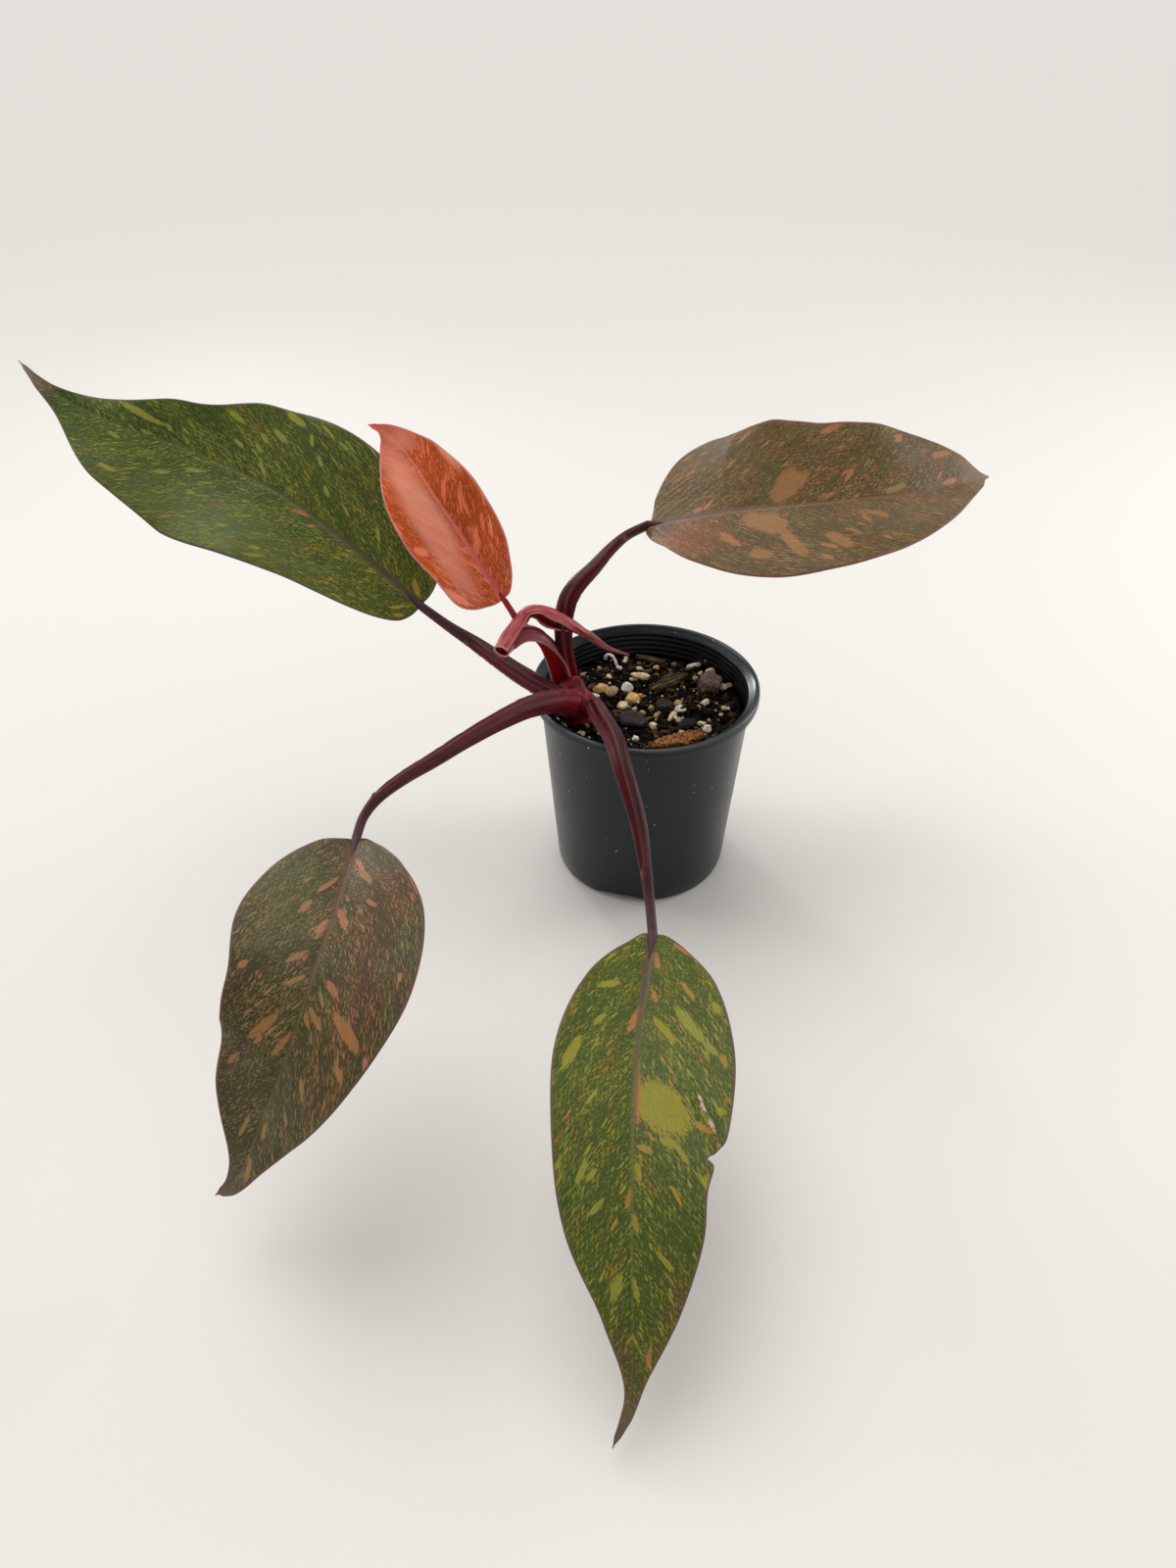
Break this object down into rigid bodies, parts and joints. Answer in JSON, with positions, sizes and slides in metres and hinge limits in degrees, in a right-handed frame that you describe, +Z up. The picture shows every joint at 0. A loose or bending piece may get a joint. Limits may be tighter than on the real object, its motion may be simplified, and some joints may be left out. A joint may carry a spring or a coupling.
{
  "type": "potted plant",
  "caption": "Young foliage plant with long-stalked pointed leaves splashed pink, yellow and orange, rooted in potting mix in a round tapered black nursery pot.",
  "frame": {"origin": "middle of the pot's flat underside, on the surface that it stands on", "axes": "+Z up along the pot's axis; -Y is the side that the front leaf hangs over; +X is to the right seen from there"},
  "size_m": [0.417, 0.347, 0.2146],
  "materials": {
    "pot": "satin black moulded plastic",
    "potting_mix": "moist bark fines and coir with pebbles",
    "crown": "smooth red stem tissue",
    "old_leaf_sheath": "withered papery sheath",
    "root_tip": "pale fleshy root",
    "leaf_front": "satin leaf skin, flecked",
    "leaf_low_left": "satin leaf skin, flecked",
    "leaf_far_left": "satin leaf skin, flecked",
    "leaf_right": "satin leaf skin, flecked",
    "leaf_new": "satin leaf skin, flecked",
    "stalk_front": "waxy maroon leaf stalk",
    "stalk_low_left": "waxy maroon leaf stalk",
    "stalk_right": "waxy maroon leaf stalk",
    "stalk_new": "waxy maroon leaf stalk",
    "stalk_far_left": "waxy maroon leaf stalk",
    "wood_chip": "rough",
    "fibre_chip": "rough",
    "mauve_stone": "rough",
    "grey_stone": "rough",
    "mauve_chip": "rough",
    "bark_chip": "rough",
    "dark_chip": "rough"
  },
  "bodies": {
    "root": {"pot": "pot", "potting_mix": "potting_mix", "crown": "crown", "stalk_front": "stalk_front", "stalk_low_left": "stalk_low_left", "stalk_right": "stalk_right", "stalk_new": "stalk_new", "stalk_far_left": "stalk_far_left", "leaf_front": "leaf_front", "leaf_low_left": "leaf_low_left", "leaf_far_left": "leaf_far_left", "leaf_right": "leaf_right", "leaf_new": "leaf_new", "old_leaf_sheath": "old_leaf_sheath", "root_tip": "root_tip", "wood_chip": "wood_chip", "fibre_chip": "fibre_chip", "mauve_stone": "mauve_stone", "grey_stone": "grey_stone", "mauve_chip": "mauve_chip", "bark_chip": "bark_chip", "dark_chip": "dark_chip"}
  },
  "joints": []
}
